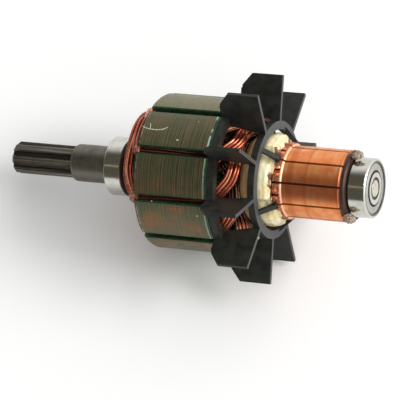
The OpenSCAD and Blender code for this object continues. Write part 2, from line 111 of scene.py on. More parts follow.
class Shader:
    """A material under construction, with short ways to add nodes."""

    def __init__(self, name, tree=None):
        if tree is None:
            self.material = bpy.data.materials.new(name)
            self.material.use_nodes = True
            tree = self.material.node_tree
        self.tree = tree
        self.bsdf = tree.nodes.get("Principled BSDF")

    def node(self, kind, **settings):
        n = self.tree.nodes.new(kind)
        for k, v in settings.items():
            setattr(n, k, v)
        return n

    def put(self, socket, value):
        if isinstance(value, bpy.types.NodeSocket):
            self.tree.links.new(value, socket)
        elif isinstance(value, (tuple, list)) and len(value) == 3 and socket.type == "RGBA":
            socket.default_value = (*value, 1)
        else:
            socket.default_value = value

    def math(self, op, *values):
        """A maths node, or a chain of them where there are more than two values"""
        out = values[0]
        for v in values[1:] or (0.0,):
            n = self.node("ShaderNodeMath", operation=op)
            self.put(n.inputs[0], out)
            self.put(n.inputs[1], v)
            out = n.outputs[0]
        return out

    def times(self, *values):
        return self.math("MULTIPLY", *values)

    def plus(self, *values):
        return self.math("ADD", *values)

    def most(self, *values):
        return self.math("MAXIMUM", *values)

    def vector(self, op, a, b):
        n = self.node("ShaderNodeVectorMath", operation=op)
        self.put(n.inputs[0], a)
        self.put(n.inputs["Scale" if op == "SCALE" else 1], b)
        return n.outputs["Value" if op == "DOT_PRODUCT" else 0]

    def dot(self, vector, way):
        return self.vector("DOT_PRODUCT", vector, way)

    def noise(self, vector, scale, detail=2.0, rough=0.5, flat=False):
        """Noise in space or, where it is flat, along one number"""
        n = self.node("ShaderNodeTexNoise", noise_dimensions="1D" if flat else "3D")
        self.put(n.inputs["W" if flat else "Vector"], vector)
        n.inputs["Scale"].default_value = scale
        n.inputs["Detail"].default_value = detail
        n.inputs["Roughness"].default_value = rough
        return n.outputs[0]

    def ramp(self, value, *stops):
        """Each stop is a position with a colour as tint takes it, or with one linear grey"""
        n = self.node("ShaderNodeValToRGB")
        self.put(n.inputs[0], value)
        e = n.color_ramp.elements
        while len(e) > len(stops):
            e.remove(e[-1])
        while len(e) < len(stops):
            e.new(0.5)
        for k, (position, *c) in enumerate(stops):
            e[k].position = position
            e[k].color = (*(tint(*c) if len(c) == 3 else c * 3), 1)
        return n.outputs[0]

    def span(self, value, low, high, out_low=0.0, out_high=1.0):
        """A smooth change from out_low to out_high while the value goes from low to high"""
        n = self.node("ShaderNodeMapRange", interpolation_type="SMOOTHSTEP")
        for i, v in enumerate((value, low, high, out_low, out_high)):
            self.put(n.inputs[i], v)
        return n.outputs[0]

    def band(self, value, low, high, edge):
        """1 from low to high, falling to 0 over the edge on both sides"""
        return self.times(self.span(value, low - edge, low), self.span(value, high, high + edge, 1.0, 0.0))

    def mix(self, amount, a, b, blend="MIX"):
        n = self.node("ShaderNodeMix", data_type="RGBA", blend_type=blend)
        factor, first, second, result = n.inputs[0], n.inputs[6], n.inputs[7], n.outputs[2]
        for socket, value in ((factor, amount), (first, a), (second, b)):
            self.put(socket, value)
        return result

    def bump(self, height, strength, distance):
        n = self.node("ShaderNodeBump")
        n.inputs["Strength"].default_value = strength
        n.inputs["Distance"].default_value = distance * mm
        self.put(n.inputs["Height"], height)
        return n.outputs[0]

    def attribute(self, name):
        return self.node("ShaderNodeAttribute", attribute_name=name).outputs["Fac"]

    def place(self):
        """Position from the pinion's tip in millimetres, then station and radius"""
        co = self.node("ShaderNodeTexCoord").outputs["Object"]
        v = self.vector("SCALE", self.vector("SUBTRACT", co, tip), 1 / mm)
        s, x, y = (self.dot(v, way) for way in (axis, down, side))
        return v, s, self.math("SQRT", self.plus(self.times(x, x), self.times(y, y)))

    def angle(self, v):
        """Angle round the rotor in degrees"""
        return self.times(self.math("ARCTAN2", self.dot(v, side), self.dot(v, down)), math.degrees(1))

    def streaks(self, v, s, across, along):
        """Noise drawn out along the shaft: across and along are its scales the two ways"""
        push = self.vector("SCALE", axis, self.times(s, 1 - along / across))
        return self.noise(self.vector("SUBTRACT", v, push), across, 3.0, 0.6)

    def surface(self, colour, metal, rough, normal=None, **more):
        """Fill the shader: more names its other sockets, with _ for a space"""
        more.update(Base_Color=colour, Metallic=metal, Roughness=rough)
        if normal is not None:
            more.update(Normal=normal)
        for key, value in more.items():
            self.put(self.bsdf.inputs[key.replace("_", " ")], value)
        return self.material


def grained(name, scale, detail, fine, stops, rough, strength, depth, **more):
    """A material of one grain, which gives its colours, its bumps and, where rough is a pair, its polish"""
    m = Shader(name)
    v, _, _ = m.place()
    grain = m.noise(v, scale, detail, fine)
    if isinstance(rough, tuple):
        rough = m.span(grain, 0.3, 0.7, *rough)
    return m.surface(m.ramp(grain, *stops), 0.0, rough, m.bump(grain, strength, depth), **more)


def dress(material, *names):
    """Give these CAD pieces the material"""
    for name in names:
        nodes[name].data.materials.clear()
        nodes[name].data.materials.append(material)


def soften(name, width):
    """Break the sharp edges of a CAD piece"""
    m = nodes[name].modifiers.new("edge", "BEVEL")
    m.width = width * mm
    m.segments = 2
    m.limit_method = "ANGLE"
    m.angle_limit = math.radians(30)


def piece(name, points, faces, material, slot, body="rotor", **values):
    """A new visible piece: values are numbers for each of its points, read by its material"""
    me = bpy.data.meshes.new(name)
    me.from_pydata(points, [], faces)
    me.materials.append(material)
    me.polygons.foreach_set("use_smooth", [True] * len(me.polygons))
    for key, numbers in values.items():
        me.attributes.new(key, "FLOAT", "POINT").data.foreach_set("value", numbers)
    o = bpy.data.objects.new(name, me)
    bpy.context.collection.objects.link(o)
    bm = bmesh.new()
    bm.from_mesh(me)
    bmesh.ops.recalc_face_normals(bm, faces=bm.faces)
    bm.to_mesh(me)
    bm.free()
    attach(o, body)
    return o


def lump(centre, phi, sizes, seed, rough, detail):
    """Points and faces of an uneven ball: sizes are its halves outwards, round the shaft and along it"""
    bm = bmesh.new()
    bmesh.ops.create_icosphere(bm, subdivisions=detail, radius=1)
    out, round_ = outward(phi), outward(phi + 90)
    shift = Vector((seed * 3.1, seed * 1.7, 0))
    points = []
    for vert in bm.verts:
        n = vert.co
        grow = 1 + rough * noise.fractal(n * 1.3 + shift, 0.6, 2.0, 4)
        reach = out * n.x * sizes[0] + round_ * n.y * sizes[1] + axis * n.z * sizes[2]
        points.append(centre + reach * grow * mm)
    faces = [[q.index for q in f.verts] for f in bm.faces]
    bm.free()
    return points, faces


def gather(parts):
    """Several point-and-face sets as one"""
    points, faces = [], []
    for p, f in parts:
        faces += [[i + len(points) for i in face] for face in f]
        points += p
    return points, faces


# ---- Materials ----

# Their noise is set in the rotor's own millimetres, so it stays on a piece that turns.

# Turned and hobbed steel, lightly oxidised. The teeth are darker and drawn lengthwise, with painted shade
# darkest at their roots; the collar is turned.
m = Shader("pinion_steel")
v, s, r = m.place()
drawn = m.streaks(v, s, 1.7, 0.05)
turned = m.noise(s, 2.6, 4, 0.7, flat=True)
cloud = m.noise(v, 0.3, 3)
teeth = m.ramp(drawn, (0.3, 78, 74, 67), (0.5, 112, 107, 98), (0.68, 164, 157, 146))
# Painted shade in the roots of the teeth
teeth = m.mix(m.span(r, 4.2, 3.55, 0.0, 0.75), teeth, tint(38, 34, 30))
collar = m.ramp(turned, (0.25, 108, 104, 94), (0.75, 130, 125, 114))
on_teeth = m.span(s, teeth_end_s, teeth_end_s + 0.3, 1.0, 0.0)
on_collar = m.span(s, teeth_end_s, teeth_end_s + 0.3)
colour = m.mix(on_collar, teeth, collar)
colour = m.mix(m.span(cloud, 0.5, 0.72, 0.0, 0.5), colour, tint(86, 72, 54))
rough = m.span(m.noise(v, 0.8, 3), 0.3, 0.7, 0.32, 0.46)
height = m.plus(m.times(drawn, on_teeth), m.times(turned, on_collar, 0.35))
dress(m.surface(colour, 0.9, rough, m.bump(height, 0.35, 0.06)), "pinion")
soften("pinion", 0.13)

# Only its rear tip is seen: a bright face, dark round the edge
m = Shader("shaft_steel")
v, _, r = m.place()
spots = m.noise(v, 1.4, 4, 0.6)
colour = m.ramp(spots, (0.35, 176, 168, 150), (0.6, 212, 206, 190))
colour = m.mix(m.span(r, 2.2, 2.35, 0.0, 0.9), colour, tint(60, 54, 46))
turned = m.bump(m.noise(r, 2.5, 3, flat=True), 0.3, 0.03)
dress(m.surface(colour, 0.45, m.span(spots, 0.3, 0.7, 0.32, 0.5), turned), "shaft")
soften("shaft", 0.08)

# Dirt and painted shade in the seams of a bearing's faces: inner and outer radius of each seam, and how much
SEAMS = ((2.42, 3.05, 1.0), (4.3, 4.9, 1.0), (6.66, 6.94, 0.8), (7.12, 7.36, 0.8))
hidden_face_s = (34.0, 35.0)  # the front bearing's face towards the winding


def steel(name, colour, dark, rough, fine, depth):
    """Ground or pressed steel, with rings from the wheel round its rim and on its faces"""
    m = Shader(name)
    v, s, r = m.place()
    rings = m.noise(m.plus(s, m.times(r, 1.3)), fine, 3, 0.6, flat=True)
    cloud = m.noise(v, 0.55, 3, 0.6)
    tone = m.mix(m.span(cloud, 0.45, 0.7, 0.0, 0.4), colour, dark)
    tone = m.mix(1.0, tone, m.ramp(rings, (0.3, 0.86), (0.7, 1.0)), "MULTIPLY")
    # Dirt and painted shade in the seams of the faces, and painted shade all over the face that the winding
    # hides
    dirt_and_painted_shade = m.most(
        *(m.times(m.band(r, low, high, 0.05), amount) for low, high, amount in SEAMS),
        m.times(m.band(s, *hidden_face_s, 0.3), m.span(r, 7.95, 7.8)))
    tone = m.mix(m.times(dirt_and_painted_shade, 0.95), tone, tint(38, 33, 28))
    dull = m.span(m.plus(dirt_and_painted_shade, m.span(r, 7.96, 7.8)), 0, 1, 0, 0.3)
    rough = m.plus(m.span(cloud, 0.3, 0.7, *rough), dull)
    return m.surface(tone, m.span(dirt_and_painted_shade, 0, 1, 1.0, 0.6), rough, m.bump(rings, 0.2, depth))


bearing_steel = steel(
    "bearing_steel", tint(228, 226, 218), tint(196, 190, 174), rough=(0.12, 0.19), fine=3.0, depth=0.012)
shield_steel = steel(
    "shield_steel", tint(198, 197, 190), tint(164, 162, 152), rough=(0.24, 0.36), fine=2.2, depth=0.03)
snap_wire = steel(
    "snap_wire", tint(178, 176, 168), tint(110, 106, 98), rough=(0.2, 0.34), fine=5.0, depth=0.02)
ball_steel = steel(
    "ball_steel", tint(222, 222, 220), tint(200, 200, 196), rough=(0.04, 0.08), fine=1.0, depth=0.004)
cage_plastic = grained(
    "cage_plastic", 2.5, 4, 0.6, ((0.3, 150, 112, 70), (0.7, 186, 148, 98)),
    rough=0.5, strength=0.3, depth=0.03)
for end in ("front", "rear"):
    bearing = end + "_bearing_"
    dress(bearing_steel, bearing + "outer_ring", bearing + "inner_ring")
    dress(shield_steel, bearing + "inboard_shield", bearing + "outboard_shield")
    dress(snap_wire, bearing + "inboard_snap_ring", bearing + "outboard_snap_ring")
    dress(cage_plastic, bearing + "cage")
    dress(ball_steel, *(bearing + "ball_%d" % i for i in range(1, 8)))
    soften(bearing + "outer_ring", 0.07)
    soften(bearing + "inner_ring", 0.06)

# Stacked steel sheets under green and brown varnish
sheet = 0.5
rim_step = 0.3665  # millimetres to a degree on the core's rim
slot_half = 1.2
m = Shader("core_steel")
v, s, _ = m.place()
from_middle = m.math("PINGPONG", m.angle(v), pitch / 2)
from_slot = m.math("SUBTRACT", m.times(m.math("SUBTRACT", pitch / 2, from_middle), rim_step), slot_half)
sheets = m.noise(s, 2.3, 3, 0.75, flat=True)
ribs = m.math("SINE", m.times(s, 2 * math.pi / sheet))
grid = m.plus(m.times(sheets, 1.2), m.times(ribs, 0.11))
cloud = m.noise(v, 0.24, 4, 0.6)
colour = m.ramp(cloud, (0.34, 86, 91, 55), (0.5, 97, 91, 62), (0.66, 112, 96, 64))
rust = m.times(m.span(m.noise(v, 0.16, 2, 0.5), 0.4, 0.66), m.span(m.dot(v, outward(252)), 15.5, 20.5))
colour = m.mix(m.times(rust, 0.6), colour, tint(144, 92, 50))
# Greener beside the slots
green = m.times(m.span(from_slot, 1.3, 0.1), m.span(m.noise(v, 0.5, 3), 0.3, 0.6, 0.2, 0.65))
colour = m.mix(green, colour, tint(62, 90, 56))
# The sheets' lines, with painted sheen that makes them strongest on the tooth that faces up and towards the
# viewer
painted_sheen_on_lines = m.span(m.dot(v, outward(208)), 15, 20.5, 0.4, 1.0)
colour = m.mix(painted_sheen_on_lines, colour, m.span(grid, 0.42, 0.82, 0.46, 1.44), "MULTIPLY")
# Chipped varnish at the front edge, and a painted highlight along the rear edge
ragged = m.plus(s, m.times(m.noise(v, 1.6, 4, 0.7), 1.6))
chips = m.times(m.span(ragged, core_s + 1.25, core_s + 0.85), m.span(m.noise(v, 0.45, 4, 0.7), 0.46, 0.54))
colour = m.mix(m.times(chips, 0.7), colour, tint(196, 166, 148))
# Painted highlight along the rear edge
rear_edge_highlight = m.times(
    m.span(s, core_end_s - 0.42, core_end_s - 0.26), m.span(m.noise(v, 0.35, 2), 0.4, 0.52),
    m.span(m.dot(v, outward(262)), 10, 19, 1.0, 0.4))
colour = m.mix(m.times(rear_edge_highlight, 0.9), colour, tint(204, 222, 200))
# One tooth is darker, and another is lighter with a painted highlight
colour = m.mix(m.span(m.dot(v, outward(217)), 19.4, 20.9, 0.0, 0.32), colour, tint(34, 40, 30))
colour = m.mix(m.span(m.dot(v, outward(142)), 18.2, 20.6, 0.0, 0.3), colour, tint(176, 170, 132))
rough = m.span(m.noise(v, 0.7, 3), 0.3, 0.7, 0.36, 0.54)
m.surface(colour, 0.3, rough, m.bump(grid, 0.5, 0.05), Coat_Weight=0.12, Coat_Roughness=0.25)
dress(m.material, "core")
soften("core", 0.12)

m = Shader("green_coat")
v, _, _ = m.place()
cloud = m.noise(v, 0.5, 3)
colour = m.ramp(cloud, (0.3, 26, 52, 32), (0.6, 38, 76, 48), (0.8, 58, 96, 64))
m.surface(colour, 0.0, m.span(cloud, 0.3, 0.7, 0.24, 0.42), m.bump(m.noise(v, 2.2, 3), 0.35, 0.08),
          Coat_Weight=0.25, Coat_Roughness=0.2)
dress(m.material, "core_insulation")

sleeve_plastic = grained(
    "sleeve_plastic", 1.8, 4, 0.6, ((0.3, 196, 190, 166), (0.7, 222, 216, 196)),
    rough=0.45, strength=0.2, depth=0.04)
dress(sleeve_plastic, "front_sleeve", "rear_sleeve")

# Black moulding, dusty in places, with a painted highlight, grey, on the rim round the rear ring
m = Shader("fan_plastic")
v, s, _ = m.place()
cloud, grain = m.noise(v, 0.35, 4, 0.6), m.noise(v, 3.4, 4, 0.7)
colour = m.ramp(cloud, (0.35, 30, 31, 28), (0.62, 48, 49, 44))
colour = m.mix(m.span(grain, 0.56, 0.72, 0.0, 0.3), colour, tint(74, 76, 70))
# Painted highlight on the rear ring's rim
rim = m.band(s, fan_end_s - 0.05, fan_end_s + 0.05, 0.08)
colour = m.mix(m.times(rim, 0.75), colour, tint(78, 81, 82))
m.surface(colour, 0.0, m.span(cloud, 0.3, 0.7, 0.42, 0.58), m.bump(grain, 0.3, 0.05), Specular_IOR_Level=0.36)
dress(m.material, "fan")
soften("fan", 0.12)

phenolic = grained(
    "phenolic", 1.6, 5, 0.65, ((0.3, 34, 20, 15), (0.7, 78, 46, 30)),
    rough=(0.38, 0.6), strength=0.3, depth=0.06)
dress(phenolic, "commutator_hub")
soften("commutator_hub", 0.1)

# Turned copper: fine lathe lines, darker tracks, a painted highlight as a bright line at the riser's step,
# dull crusted risers and painted shade on the bevel at the rear end
m = Shader("bar_copper")
v, s, r = m.place()
lathe = m.noise(s, 3.4, 4, 0.75, flat=True)
tracks = m.noise(s, 0.5, 2, 0.5, flat=True)
cloud = m.noise(v, 0.32, 4, 0.6)
colour = m.ramp(cloud, (0.32, 244, 138, 76), (0.52, 255, 160, 96), (0.7, 255, 186, 122))
colour = m.mix(m.span(tracks, 0.5, 0.66, 0.0, 0.4), colour, tint(206, 92, 50))
# Painted dark reflection along the side that faces up and towards the viewer
colour = m.mix(m.span(m.dot(v, outward(222)), 8.5, 9.6, 0.0, 0.7), colour, tint(140, 62, 40))
colour = m.mix(1.0, colour, m.span(lathe, 0.3, 0.7, 0.95, 1.04), "MULTIPLY")
# Painted highlight: a bright line at the riser's step
step_highlight = m.times(m.band(s, track_s + 0.24, track_s + 0.48, 0.05), m.span(r, track_r - 0.15, track_r - 0.05))
colour = m.mix(m.times(step_highlight, 0.8), colour, tint(255, 216, 184))
riser = m.times(m.span(s, track_s + 0.22, track_s + 0.12), m.span(r, track_r - 0.15, track_r + 0.25))
crust = m.noise(v, 1.7, 4, 0.65)
crusted = m.ramp(crust, (0.34, 116, 62, 42), (0.5, 172, 100, 66), (0.66, 216, 160, 118))
colour = m.mix(m.times(riser, 0.85), colour, crusted)
# Painted shade on the bevel at the rear end
colour = m.mix(m.span(s, track_end_s - 0.5, track_end_s - 0.25, 0.0, 0.85), colour, tint(120, 64, 44))
worn = m.most(riser, step_highlight, m.span(s, track_end_s - 0.7, track_end_s - 0.4))
rough = m.plus(m.span(lathe, 0.3, 0.7, 0.3, 0.38), m.times(worn, 0.2))
height = m.plus(m.times(lathe, 0.3), m.times(riser, crust, 4.0))
m.surface(colour, m.span(riser, 0, 1, 0.62, 0.4), rough, m.bump(height, 0.2, 0.035))
for i in range(1, slots + 1):
    dress(m.material, "commutator_bar_%02d" % i)
    soften("commutator_bar_%02d" % i, 0.11)

# Enamelled copper: bright in the heads, soaked with dark varnish and darkened with painted shade in the
# slots, and darkened with painted shade where it lies deep. Each wire has its own tone.
m = Shader("copper_wire")
v, s, r = m.place()
own = m.attribute("tone")
cloud = m.noise(v, 0.5, 3)
drawn = m.streaks(v, s, 1.6, 0.06)
free = m.ramp(m.plus(m.times(cloud, 0.6), m.times(own, 0.4)),
              (0.3, 176, 82, 54), (0.5, 222, 118, 80), (0.68, 248, 166, 126))
# Varnish-soaked wire in the slots, with painted shade
soaked_with_painted_shade = m.ramp(m.plus(m.times(drawn, 0.75), m.times(own, 0.25)),
                (0.36, 80, 38, 31), (0.5, 120, 60, 47), (0.64, 170, 94, 72))
inside = m.band(s, coat_s + 0.2, coat_end_s - 0.2, 0.7)
front = m.span(s, coat_s, coat_s - 1.0)
colour = m.mix(inside, free, soaked_with_painted_shade)
colour = m.mix(m.times(front, m.span(own, 0.2, 0.8, 0.6, 0.15)), colour, tint(140, 62, 38))
# Painted shade between the core and the resin, near the sleeve and on the side turned away
shade_places = m.most(m.span(r, 14.3, 13.0), m.span(m.dot(v, outward(116)), 12.7, 14.2))
deep_painted_shade = m.times(shade_places, m.span(s, coat_end_s, coat_end_s + 0.6), m.span(s, 76, 74))
colour = m.mix(m.times(deep_painted_shade, 0.9), colour, tint(52, 25, 22))
m.surface(colour, m.span(inside, 0, 1, 0.88, 0.2), m.span(cloud, 0.3, 0.7, 0.2, 0.3),
          m.bump(m.noise(v, 0.8, 2), 0.06, 0.04), Coat_Weight=0.6, Coat_Roughness=0.1)
copper_wire = m.material

# Cast resin: darker tan inside the fan as painted shade, and burnt in places along the edge at the risers
m = Shader("cream_resin")
v, s, _ = m.place()
edge = m.attribute("edge")
cloud, fleck = m.noise(v, 0.28, 3, 0.5), m.noise(v, 1.3, 4, 0.65)
colour = m.ramp(cloud, (0.32, 232, 208, 150), (0.5, 247, 231, 180), (0.68, 253, 246, 212))
# Painted shade inside the fan
colour = m.mix(m.span(s, 77.0, 75.6, 0.0, 0.85), colour, tint(206, 160, 104))
stain = m.math("SUBTRACT", m.times(m.noise(v, 0.55, 3, 0.55), 3.4), edge)
colour = m.mix(m.span(stain, 1.2, 1.9, 0.0, 0.8), colour, tint(176, 120, 70))
colour = m.mix(m.span(stain, 1.5, 1.9, 0.0, 0.9), colour, tint(84, 46, 30))
m.surface(colour, 0.0, m.span(cloud, 0.3, 0.7, 0.2, 0.34),
          m.bump(m.plus(cloud, m.times(fleck, 0.1)), 0.15, 0.2), Coat_Weight=0.35, Coat_Roughness=0.1,
          Subsurface_Weight=0.15, Subsurface_Radius=(0.0012, 0.0009, 0.0005))
cream_resin = m.material

m = Shader("soaked_wire")
v, s, _ = m.place()
grain, strand = m.noise(v, 1.1, 4, 0.6), m.streaks(v, s, 1.4, 0.1)
colour = m.ramp(m.plus(m.times(grain, 0.6), m.times(strand, 0.4)),
                (0.38, 74, 38, 30), (0.5, 140, 76, 56), (0.62, 206, 136, 108))
m.surface(colour, 0.2, 0.36, m.bump(grain, 0.5, 0.2), Coat_Weight=0.5, Coat_Roughness=0.15)
soaked_wire = m.material

putty = grained(
    "putty", 2.4, 5, 0.7, ((0.36, 70, 58, 48), (0.48, 158, 138, 118), (0.62, 220, 204, 184)),
    rough=0.6, strength=0.8, depth=0.3)
varnish = grained(
    "varnish", 1.6, 3, 0.5, ((0.3, 172, 184, 150), (0.6, 214, 216, 190)),
    rough=0.25, strength=0.3, depth=0.05, Coat_Weight=0.4)

# ---- Winding ----

wire_r, wire_sides = 0.43, 7
coil_span = 4 * pitch
head_steps = 40

# Each wire's place in its bundle, across and up, layer by layer: in the slot, in a rear head and in a
# front head
IN_SLOT = (
    (-0.87, -0.76), (0, -0.78), (0.87, -0.76),
    (-1.32, 0), (-0.44, 0.02), (0.44, 0), (1.32, 0.02),
    (-0.87, 0.77), (0, 0.79), (0.87, 0.77))
IN_REAR = (
    (-1.0, -0.84), (0, -0.86), (1.0, -0.84),
    (-1.5, 0), (-0.5, 0.02), (0.5, 0), (1.5, 0.02),
    (-1.0, 0.84), (0, 0.88), (1.0, 0.84))
IN_FRONT = (
    (-0.92, -0.86), (0, -0.9), (0.92, -0.86),
    (-1.1, 0), (-0.2, 0), (0.3, -0.05), (1.05, 0),
    (-0.92, 0.86), (0, 0.9), (0.92, 0.86))

# Knots of a coil's head: radius, angle from its slot, distance from the coat's face. All heads end
# alike, past the sleeve and into the far slot. At the rear some coils lie deeper than the others. At
# the front those that the viewer sees lie one over the other, each in its own way, and are named by
# their numbers.
REAR_END = [(8.4, 124, 2.4), (11.6, 139, 1.4), (12.1, 144, 0)]
REAR = [
    (16.5, 0, 0), (16.6, 2.5, 0.9), (16.3, 9, 2.8), (15.6, 20, 4.9), (14.7, 36, 5.2), (12.6, 60, 4.6),
    (10.2, 88, 3.5)] + REAR_END
DEEP_REAR = [
    (16.5, 0, 0), (16.6, 2.5, 0.9), (16.2, 9, 2.8), (14.4, 20, 4.6), (11.8, 33, 4.3), (9.8, 58, 3.0),
    (9.0, 88, 2.8)] + REAR_END
DEEP_COILS = (3, 5, 8, 9, 10)
FRONT_END = [(11.8, 140, 1.2), (12.1, 144, 0)]
FRONT = {
    7: [(18.3, 0, -0.4), (18.8, 3, 0.9), (17.4, 13, 2.7), (15.6, 26, 3.8), (15.2, 50, 3.9), (15.5, 70, 3.7),
        (16.0, 82, 2.7), (13.5, 102, 2.2), (8.4, 128, 2.2)],
    6: [(18.3, 0, -0.4), (18.2, 4, 0.9), (16.8, 16, 1.9), (16.2, 34, 2.4), (15.4, 50, 2.3), (12.5, 84, 2.0),
        (8.4, 128, 2.0)],
    5: [(18.2, 0, -0.4), (18.4, 2, 0.5), (17.2, 12, 1.2), (13.6, 34, 2.1), (10.6, 84, 3.0), (8.4, 128, 2.0)],
    8: [(17.9, 0, -0.6), (16.9, 3, 0.2), (14.8, 14, 0.8), (12.8, 32, 1.4), (10.6, 84, 2.6), (8.4, 128, 2.0)],
}
LOW_FRONT = [(16.3, 0, 0), (16.3, 4, 0.7), (15.2, 24, 1.4), (11.1, 84, 3.0), (8.05, 128, 1.9)]

# The lead that each coil sends back to its riser, three pitches on, and its two flattened ends there:
# station and radius
lead_r, lead_wire_r, lead_pitches = 9.2, 0.5, 3
LEAD_S = (70.4, 74, 78, 81, track_s - 0.2)
END_KNOTS = ((79.9, 9.8), (80.5, 10.22), (81.2, 10.26), (82.0, 10.14))
end_thick = 0.18


def smooth(x, low, high):
    t = min(max((x - low) / (high - low), 0), 1)
    return t * t * (3 - 2 * t)


def catmull(a, b, c, d, t):
    """Between b and c at the share t, on the smooth curve through all four"""
    return tuple(
        0.5 * (2 * q + (r - p) * t + (2 * p - 5 * q + 4 * r - s) * t * t + (3 * q - 3 * r + s - p) * t ** 3)
        for p, q, r, s in zip(a, b, c, d)
    )


def head(knots, face, way):
    """Radius, angle, station and share of the way, evenly stepped along the head's curve"""
    marks = [(r, -f, face + way * s, f / coil_span) for r, f, s in knots]
    each = max(3, round(head_steps / (len(marks) - 1)))
    out = []
    for i in range(len(marks) - 1):
        around = (marks[max(i - 1, 0)], marks[i], marks[i + 1], marks[min(i + 2, len(marks) - 1)])
        out += [catmull(*around, j / each) for j in range(each)]
    return out + [marks[-1]]


def tube(centres, frames, radius, closed):
    """Points and faces of a wire round these centres, each with its directions across and up"""
    points, faces = [], []
    n = len(centres)
    for c, (across, up) in zip(centres, frames):
        for q in range(wire_sides):
            w = 2 * math.pi * q / wire_sides
            points.append(c + (across * math.cos(w) + up * math.sin(w)) * radius * mm)
    for k in range(n if closed else n - 1):
        here, on = k * wire_sides, (k + 1) % n * wire_sides
        for q in range(wire_sides):
            q1 = (q + 1) % wire_sides
            faces.append((here + q, here + q1, on + q1, on + q))
    if not closed:
        faces += [tuple(range(wire_sides))[::-1], tuple(range((n - 1) * wire_sides, n * wire_sides))]
    return points, faces


def coil(i):
    rng = random.Random(100 + i)
    rear = DEEP_REAR if i in DEEP_COILS else REAR
    front = FRONT.get(i, LOW_FRONT) + FRONT_END
    path = [(*p, 1.0) for p in head(rear, coat_end_s, 1)]
    path += [(*p, -1.0) for p in reversed(head(front, coat_s, -1))]
    n = len(path)
    turned = pitch / 2 + (i - 1) * pitch
    base = [at(s, r, phi + turned) for r, phi, s, _, _ in path]
    frames = []
    for k in range(n):
        along = (base[(k + 1) % n] - base[k - 1]).normalized()
        across = along.cross(outward(path[k][1] + turned)).normalized()
        frames.append((across, across.cross(along).normalized()))
    parts, tones = [], []
    for in_slot, in_rear, in_front in zip(IN_SLOT, IN_REAR, IN_FRONT):
        ph = [rng.uniform(0, 2 * math.pi) for _ in range(2)]
        amp, tone = rng.uniform(0.6, 1.0), rng.random()
        centres = []
        for (_, _, _, t, way), centre, (across, up) in zip(path, base, frames):
            # Wires lie close in the slots and loosen, with a wave of their own, in the heads
            free = smooth(coil_span * t, 0, 20) * smooth(coil_span * (1 - t), 2, 40)
            u, v = (a + (b - a) * free for a, b in zip(in_slot, in_rear if way > 0 else in_front))
            u += free * amp * 0.13 * math.sin(ph[0] + 7 * t + way)
            v += free * amp * 0.12 * math.sin(ph[1] + 8 * t + 2 * way)
            centres.append(centre + (across * u + up * v) * mm)
        parts.append(tube(centres, frames, wire_r, True))
        tones += [tone] * len(parts[-1][0])
    # The lead runs under the resin into the riser
    phi = turned - lead_pitches * pitch
    lead = [at(s, lead_r, phi) for s in LEAD_S]
    parts.append(tube(lead, [(outward(phi + 90), outward(phi))] * len(lead), lead_wire_r, False))
    tones += [0.5] * len(parts[-1][0])
    # Its two flattened ends are fused over the riser
    for k in (-1, 1):
        p = phi + k * rng.uniform(4.6, 6.2)
        reach = rng.uniform(-0.1, 0.25)
        wide = rng.uniform(0.42, 0.6)
        last = END_KNOTS[-1]
        knots = (*END_KNOTS[:-1], (last[0] + reach, last[1]))
        run = [at(s, r, p + rng.uniform(-1, 1)) for s, r in knots]
        ends = [(outward(p + 90) * wide / end_thick, outward(p))] * len(run)
        parts.append(tube(run, ends, end_thick, False))
        tones += [rng.uniform(0.3, 1.0)] * len(parts[-1][0])
    points, faces = gather(parts)
    o = piece("winding_%02d" % i, points, faces, copper_wire, "copper_wire", tone=tones)
    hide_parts("coil_%02d" % i)


for i in range(1, slots + 1):
    coil(i)


# ---- Resin collar ----

# Its outer form, and how far it draws in at the fan's straps: station with radius or depth
RESIN_R = (
    (resin_s, 9.9), (71.8, 11.0), (73.2, 11.7), (75.0, 12.0), (77.6, 12.3), (79.0, 12.05), (80.4, 11.3),
    (81.4, 10.6))
RESIN_PINCH = ((73.5, 0), (76.5, 0.9), (78.5, 1.5), (79.8, 1.2), (riser_s, 0.9))
# The station where it ends in mean, and its bore
resin_mean_s, bore_r = 80.35, 9.9
RESIN_BORE = ((77, 10.3), (74, 9.8), (resin_s, 9.7))


def along_knots(x, knots):
    for (x0, y0), (x1, y1) in zip(knots, knots[1:]):
        if x <= x1:
            return y0 + (y1 - y0) * smooth(x, x0, x1)
    return knots[-1][1]


def from_strap(phi):
    """Degrees to the nearest of the fan's straps"""
    half = strap_pitch / 2
    return abs((phi - 180 + half) % strap_pitch - half)


def spoke(phi, length=1, rise=0):
    """Where noise is read for an angle: on a circle, so that it closes on itself"""
    a = math.radians(phi)
    return Vector((math.cos(a) * length, math.sin(a) * length, rise))


def resin_end(phi):
    """Station where the resin ends: ragged, and further on over the risers away from the straps"""
    clear = smooth(from_strap(phi), 6, 12)
    torn = noise.fractal(spoke(phi) * 2.6 + Vector((7, 3, 0)), 0.8, 2.0, 3)
    low = smooth(spoke(phi).dot(spoke(278)), 0.9, 0.99)
    high = smooth(spoke(phi).dot(spoke(146)), 0.93, 0.99)
    return resin_mean_s + clear * (0.55 * torn + 1.25 * low + 0.9 * high)


def resin_r(s, phi):
    """Radius of the resin, which swells in five lobes between the straps"""
    lobe = smooth(from_strap(phi), 5.5, 15)
    r = along_knots(s, RESIN_R) - along_knots(s, RESIN_PINCH) * (1 - lobe)
    rough = 0.12 * noise.fractal(spoke(phi, 3, s * 0.35), 0.6, 2.0, 3)
    return r + (0.3 * lobe if s < riser_s else 0) + rough * (0.4 + lobe)


